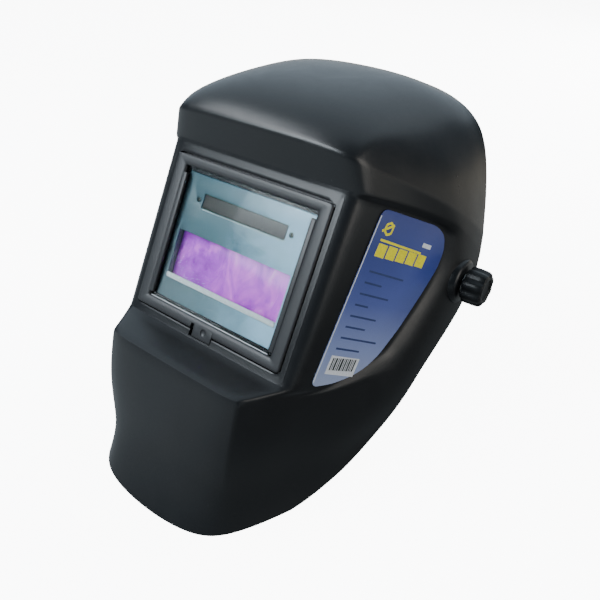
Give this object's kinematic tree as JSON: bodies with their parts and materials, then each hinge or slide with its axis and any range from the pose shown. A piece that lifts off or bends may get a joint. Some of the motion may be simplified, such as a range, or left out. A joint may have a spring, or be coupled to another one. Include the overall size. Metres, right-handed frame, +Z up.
{
  "type": "welding helmet",
  "caption": "Hard-shell welding helmet with a flip-open cover lens frame, auto-darkening filter cartridge, tip-up pivots and a ratchet headgear that tightens with a rear knob.",
  "frame": {"origin": "centre of the bounding box at the level the helmet stands on, with the helmet leaning back on its lower rim and its rear ratchet knob", "axes": "+Z up, -Y the way the window faces, +X towards the wearer's left"},
  "size_m": [0.2696, 0.3519, 0.2531],
  "materials": {
    "shell": "satin black polypropylene with a very fine grain",
    "label": "printed film, blue fading to pale grey-blue",
    "lens_frame": "satin black nylon",
    "clear_lens": "clear polished polycarbonate",
    "filter_housing": "satin teal grey",
    "view_bezel": "matte dark grey",
    "filter_glass": "violet interference-coated glass",
    "shutter": "liquid crystal shutter",
    "solar_cell": "dark amorphous silicon under clear coat",
    "sensor": "gloss dark lens",
    "circuit_board": "green solder mask",
    "battery": "nickel-plated coin cell",
    "dial": "fluted black",
    "screw": "zinc plated",
    "headgear": "satin black polyethylene",
    "sweatband": "perforated black foam and cloth",
    "nape_pad": "soft black padding",
    "knob": "satin black nylon",
    "knob_insert": "threaded brass insert",
    "friction_washer": "matte black"
  },
  "bodies": {
    "headgear": {"head_band": "headgear", "sweatband": "sweatband", "crown_strap_left": "headgear", "crown_strap_right": "headgear", "crown_stud_left": "headgear", "crown_stud_right": "headgear", "side_bracket_left": "headgear", "side_bracket_right": "headgear", "bracket_rivet_left_front": "screw", "bracket_rivet_left_rear": "screw", "bracket_rivet_right_front": "screw", "bracket_rivet_right_rear": "screw", "pivot_bolt_left": "screw", "pivot_bolt_right": "screw", "limit_plate_left": "headgear", "limit_plate_right": "headgear", "friction_washer_left": "friction_washer", "friction_washer_right": "friction_washer", "steel_washer_left": "screw", "steel_washer_right": "screw", "ratchet_housing": "headgear", "ratchet_cover": "headgear", "nape_pad": "nape_pad"},
    "face_shell": {"shell": "shell", "label_left": "label", "label_right": "label", "cartridge_holder": "lens_frame", "holder_screw_left": "screw", "holder_screw_right": "screw", "filter_front_housing": "filter_housing", "filter_rear_housing": "filter_housing", "view_bezel": "view_bezel", "uv_ir_filter_glass": "filter_glass", "lcd_shutter": "shutter", "solar_cell": "solar_cell", "light_sensor_left": "sensor", "light_sensor_right": "sensor", "circuit_board": "circuit_board", "battery_left": "battery", "battery_right": "battery", "inner_cover_lens": "clear_lens"},
    "lens_door": {"lens_frame": "lens_frame", "cover_lens": "clear_lens"},
    "sensitivity_control": {"sensitivity_dial": "dial"},
    "delay_control": {"delay_dial": "dial"},
    "left_knob": {"tension_knob_left": "knob", "knob_nut_left": "knob_insert"},
    "right_knob": {"tension_knob_right": "knob", "knob_nut_right": "knob_insert"},
    "ratchet": {"ratchet_knob": "knob", "ratchet_pinion": "headgear"},
    "left_strap": {"nape_strap_left": "headgear"},
    "right_strap": {"nape_strap_right": "headgear"}
  },
  "joints": [
    {"name": "shell_tip", "type": "hinge", "parent": "headgear", "child": "face_shell", "pos_m": [0, 0.0436, 0.12078], "axis": [-1, 0, 0], "range_deg": [0, 80]},
    {"name": "lens_door_hinge", "type": "hinge", "parent": "face_shell", "child": "lens_door", "pos_m": [0, -0.04894, 0.2032], "axis": [-1, 0, 0], "range_deg": [0, 60]},
    {"name": "sensitivity_turn", "type": "hinge", "parent": "face_shell", "child": "sensitivity_control", "pos_m": [0.044, -0.04884, 0.17271], "axis": [0, 0.861, -0.5086], "range_deg": [-135, 135]},
    {"name": "delay_turn", "type": "hinge", "parent": "face_shell", "child": "delay_control", "pos_m": [-0.044, -0.04884, 0.17271], "axis": [0, 0.861, -0.5086], "range_deg": [-135, 135]},
    {"name": "left_knob_turn", "type": "hinge", "parent": "headgear", "child": "left_knob", "pos_m": [0.127, 0.0436, 0.12078], "axis": [1, 0, 0], "range_deg": [0, 180]},
    {"name": "right_knob_turn", "type": "hinge", "parent": "headgear", "child": "right_knob", "pos_m": [-0.127, 0.0436, 0.12078], "axis": [-1, 0, 0], "range_deg": [0, 180]},
    {"name": "ratchet_turn", "type": "hinge", "parent": "headgear", "child": "ratchet", "pos_m": [0, 0.15919, 0.01751], "axis": [0, -0.7457, 0.6662], "range_deg": [0, 150]},
    {"name": "left_strap_slide", "type": "hinge", "parent": "headgear", "child": "left_strap", "pos_m": [0, 0.08909, 0.08014], "axis": [0, 0.6662, 0.7457], "range_deg": [0, 9.4]},
    {"name": "right_strap_slide", "type": "hinge", "parent": "headgear", "child": "right_strap", "pos_m": [0, 0.08909, 0.08014], "axis": [0, -0.6662, -0.7457], "range_deg": [0, 9.4]}
  ],
  "couplings": [
    {"joint": "left_strap_slide", "follows": "ratchet_turn", "ratio": 0.0626},
    {"joint": "right_strap_slide", "follows": "ratchet_turn", "ratio": 0.0626}
  ]
}
